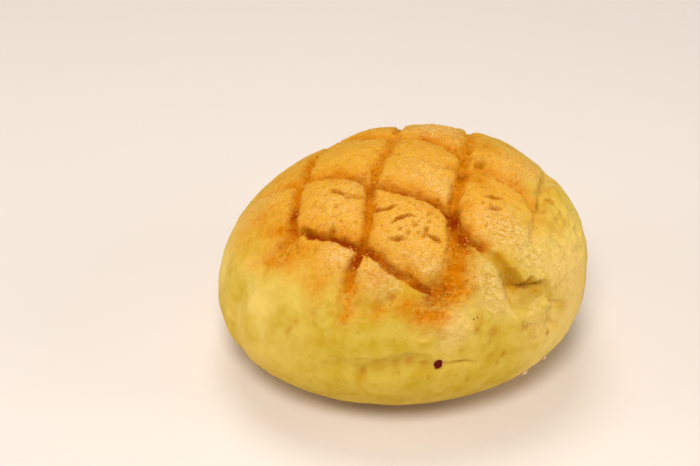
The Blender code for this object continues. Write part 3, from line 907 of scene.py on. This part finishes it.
def set_lumps(name, rows, shape, sink, material):
    """Small rounded lumps on the crust, from rows (x, y, length), shaped by shares of the length."""
    lumps = bmesh.new()
    for x, y, length in rows:
        point, normal = surface_at(x, y)
        lump = bmesh.ops.create_icosphere(lumps, subdivisions=4, radius=0.5)["verts"]
        for vertex in lump:
            vertex.co *= 1 + 0.24 * noise.noise(vertex.co * 3 + Vector((x, y, 0)))
        lean = Matrix.Rotation(math.radians(-24), 4, "Z")
        size = Matrix.Diagonal((*(length * share for share in shape), 1.0))
        turn = normal.to_track_quat("Z", "Y").to_matrix().to_4x4()
        seat = Matrix.Translation(point + normal * sink * length)
        bmesh.ops.transform(lumps, matrix=seat @ turn @ lean @ size, verts=lump)
    mesh = bpy.data.meshes.new(name)
    lumps.to_mesh(mesh)
    lumps.free()
    mesh.shade_smooth()
    add_piece(name, mesh, material)


class MELONPAN_OT_specks(bpy.types.Operator):
    """Set the burnt specks in the front crust"""
    bl_idname = "melonpan.specks"
    bl_label = "Burnt specks"

    def execute(self, context):
        length = context.scene.melonpan_bits.speck_length
        rows = ((13.4, -64.2, length), (20.3, -49.7, 0.17 * length), (21.4, -49.0, 0.15 * length))
        set_lumps("burnt_specks", rows, (0.72, 1.0, 0.55), 0.10,
                  grain_finish("burnt", (0.14, 0.004, 0.002), 0.5, 0.08))
        return {"FINISHED"}


class MELONPAN_OT_flakes(bpy.types.Operator):
    """Set the pale flakes of crust low on the right edge"""
    bl_idname = "melonpan.flakes"
    bl_label = "Pale flakes"

    def execute(self, context):
        length = context.scene.melonpan_bits.flake_length
        rows = ((65.0, -42.0, 0.8 * length), (61.5, -51.5, length), (60.0, -53.0, 0.5 * length))
        set_lumps("pale_flakes", rows, (1.0, 0.5, 0.4), 0.08,
                  grain_finish("flake", (0.86, 0.60, 0.42), 0.7, 0.2))
        return {"FINISHED"}


class MELONPAN_OT_stage(bpy.types.Operator):
    """Set the table, the soft lights and the camera"""
    bl_idname = "melonpan.stage"
    bl_label = "Stage"

    def execute(self, context):
        stage = context.scene.melonpan_stage
        self.lay_table(stage)
        self.hang_lights()
        self.set_camera(context, stage)
        context.scene.view_settings.view_transform = "Standard"
        return {"FINISHED"}

    def lay_table(self, stage):
        sheet = bmesh.new()
        bmesh.ops.create_grid(sheet, x_segments=8, y_segments=8, size=3.0)
        mesh = bpy.data.meshes.new("table")
        sheet.to_mesh(mesh)
        sheet.free()
        table = bpy.data.objects.new("table", mesh)
        table.location.z = -0.05 * MM
        bench = Bench("pale_table")
        tone = bench.speckle(0.12, 1.0, 0.4, 6.0)
        darker = tuple(value * 0.985 for value in stage.table)
        mesh.materials.append(bench.finish({"Base Color": bench.blend(tone, darker, tuple(stage.table)),
                                            "Roughness": 0.7, "Specular IOR Level": 0.2}))
        bpy.context.scene.collection.objects.link(table)

    def hang_lights(self):
        for name, place, size, power in LAMPS:
            lamp = bpy.data.lights.new(name, "AREA")
            lamp.shape = "DISK"
            lamp.size = size
            lamp.energy = power
            lamp.color = LAMP_COLOUR
            holder = bpy.data.objects.new(name, lamp)
            holder.location = place
            aim = Vector((0, 0, 0.02)) - Vector(place)
            holder.rotation_euler = aim.to_track_quat("-Z", "Y").to_euler()
            bpy.context.scene.collection.objects.link(holder)
        world = bpy.data.worlds.new("soft_room")
        world.use_nodes = True
        room = world.node_tree.nodes["Background"].inputs
        room["Color"].default_value = (*ROOM_COLOUR, 1.0)
        room["Strength"].default_value = ROOM_STRENGTH
        bpy.context.scene.world = world

    def set_camera(self, context, stage):
        data = bpy.data.cameras.new("camera")
        data.lens = stage.focal_length
        data.sensor_width = 36.0
        camera = bpy.data.objects.new("camera", data)
        middle = Vector(BUN_MIDDLE) * MM
        back = Vector((0.0, -math.cos(stage.elevation), math.sin(stage.elevation)))
        right = Vector((1.0, 0.0, 0.0))
        aim = middle - right * stage.aim_left + right.cross(-back) * stage.aim_up
        camera.location = middle + back * stage.distance
        camera.rotation_euler = (aim - camera.location).to_track_quat("-Z", "Y").to_euler()
        context.scene.collection.objects.link(camera)
        context.scene.camera = camera


class MELONPAN_PT_sidebar(bpy.types.Panel):
    bl_label = "Melon Pan"
    bl_idname = "MELONPAN_PT_sidebar"
    bl_space_type = "VIEW_3D"
    bl_region_type = "UI"
    bl_category = "Melon Pan"

    def draw(self, context):
        for operator in OPERATORS:
            self.layout.operator(operator.bl_idname)
        for group in GROUPS:
            box = self.layout.box()
            for key in group.__annotations__:
                box.prop(getattr(context.scene, GROUPS[group]), key)


GROUPS = {MelonPanShape: "melonpan_shape", MelonPanColours: "melonpan_colours",
          MelonPanBits: "melonpan_bits", MelonPanStage: "melonpan_stage"}
OPERATORS = (MELONPAN_OT_stage, MELONPAN_OT_crust, MELONPAN_OT_sugar, MELONPAN_OT_crumbs,
             MELONPAN_OT_specks, MELONPAN_OT_flakes)


def register():
    for item in (*GROUPS, *OPERATORS, MELONPAN_PT_sidebar):
        bpy.utils.register_class(item)
    for group, name in GROUPS.items():
        setattr(bpy.types.Scene, name, PointerProperty(type=group))


def unregister():
    for name in GROUPS.values():
        delattr(bpy.types.Scene, name)
    for item in reversed((*GROUPS, *OPERATORS, MELONPAN_PT_sidebar)):
        bpy.utils.unregister_class(item)


def main():
    register()
    bpy.ops.melonpan.stage()
    bpy.ops.melonpan.crust()
    bpy.ops.melonpan.sugar()
    bpy.ops.melonpan.crumbs()
    bpy.ops.melonpan.specks()
    bpy.ops.melonpan.flakes()


if __name__ == "__main__":
    main()
